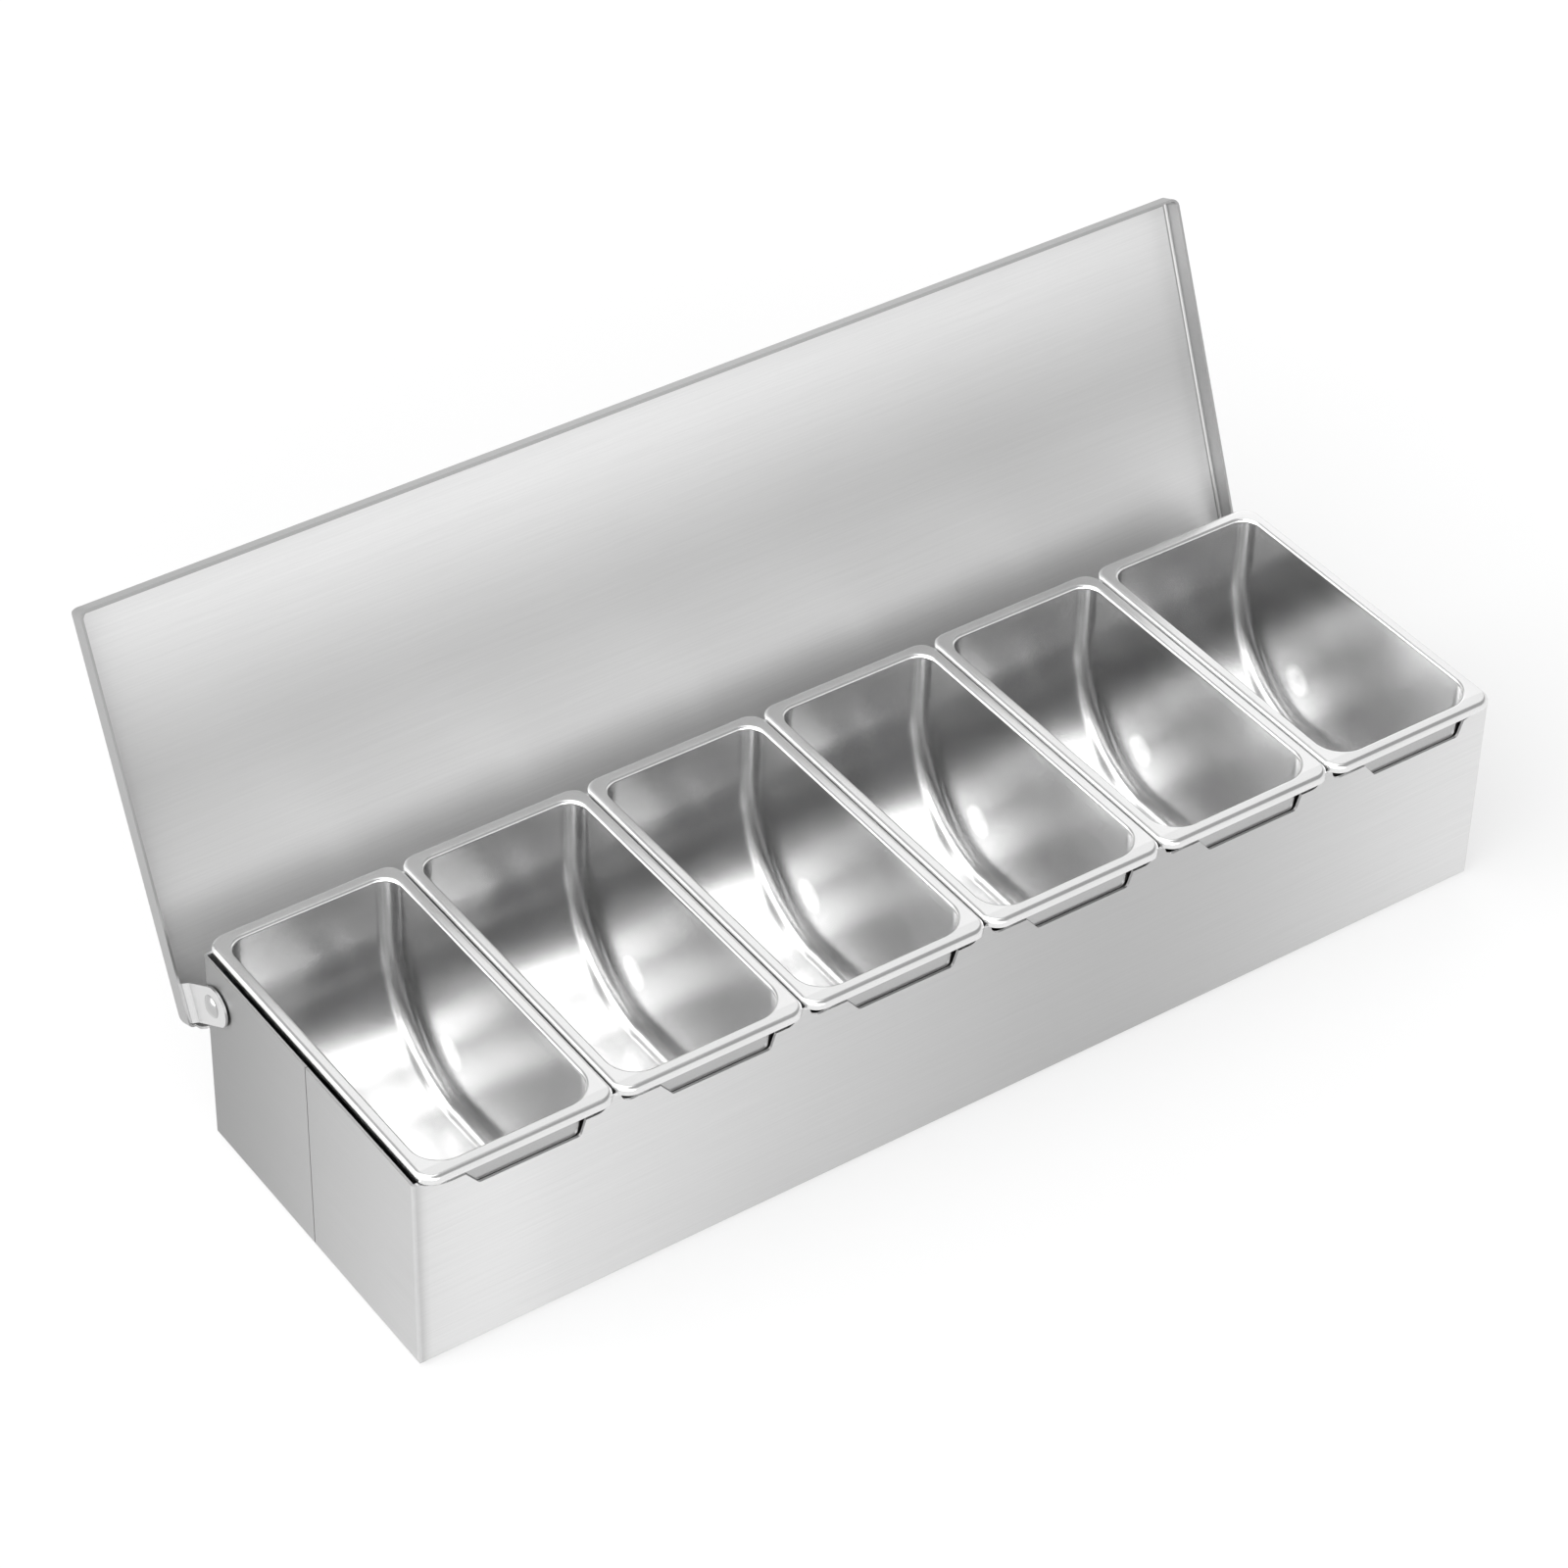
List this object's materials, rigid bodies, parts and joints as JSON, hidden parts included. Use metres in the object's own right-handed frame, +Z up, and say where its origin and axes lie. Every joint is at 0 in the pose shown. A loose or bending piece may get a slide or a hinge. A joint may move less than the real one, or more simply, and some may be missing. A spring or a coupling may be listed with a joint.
{
  "type": "condiment caddy",
  "caption": "Long open box of folded sheet steel with lift-out pans side by side, scooped at the back, under one full-length lid on riveted ears.",
  "frame": {"origin": "centre of the box's floor, on its underside", "axes": "+X along the box to the right as seen from the front, +Y to the back where the hinge is, +Z up"},
  "size_m": [0.458, 0.2065, 0.1865],
  "materials": {
    "brushed_box": "brushed along the box's length, satin",
    "mill_finish_strap": "plain mill finish",
    "polished_pan": "polished, softly blurred reflections",
    "brushed_lid": "brushed along the lid's length, satin",
    "polished_ear": "polished",
    "bright_rivet": "bright, smooth",
    "plain_washer": "plain"
  },
  "bodies": {
    "box": {"body_tub": "brushed_box", "seam_strap_left": "mill_finish_strap", "seam_strap_right": "mill_finish_strap", "hinge_rivet_left": "bright_rivet", "hinge_rivet_right": "bright_rivet", "hinge_washer_left": "plain_washer", "hinge_washer_right": "plain_washer"},
    "lid": {"lid_cover": "brushed_lid", "lid_front_fold": "brushed_lid", "lid_left_fold": "brushed_lid", "lid_right_fold": "brushed_lid", "lid_rear_fold": "brushed_lid", "lid_skirt": "brushed_lid", "hinge_ear_left": "polished_ear", "hinge_ear_right": "polished_ear"},
    "pan_1_body": {"pan_1": "polished_pan"},
    "pan_2_body": {"pan_2": "polished_pan"},
    "pan_3_body": {"pan_3": "polished_pan"},
    "pan_4_body": {"pan_4": "polished_pan"},
    "pan_5_body": {"pan_5": "polished_pan"},
    "pan_6_body": {"pan_6": "polished_pan"}
  },
  "joints": [
    {"name": "lid_hinge", "type": "hinge", "parent": "box", "child": "lid", "pos_m": [0, 0.06025, 0.0637], "axis": [-1, 0, 0], "range_deg": [-114.1, 0]},
    {"name": "pan_1_lift", "type": "slide", "parent": "box", "child": "pan_1_body", "axis": [0, 0, 1], "range_m": [0, 0.09]},
    {"name": "pan_2_lift", "type": "slide", "parent": "box", "child": "pan_2_body", "axis": [0, 0, 1], "range_m": [0, 0.09]},
    {"name": "pan_3_lift", "type": "slide", "parent": "box", "child": "pan_3_body", "axis": [0, 0, 1], "range_m": [0, 0.09]},
    {"name": "pan_4_lift", "type": "slide", "parent": "box", "child": "pan_4_body", "axis": [0, 0, 1], "range_m": [0, 0.09]},
    {"name": "pan_5_lift", "type": "slide", "parent": "box", "child": "pan_5_body", "axis": [0, 0, 1], "range_m": [0, 0.09]},
    {"name": "pan_6_lift", "type": "slide", "parent": "box", "child": "pan_6_body", "axis": [0, 0, 1], "range_m": [0, 0.09]}
  ]
}
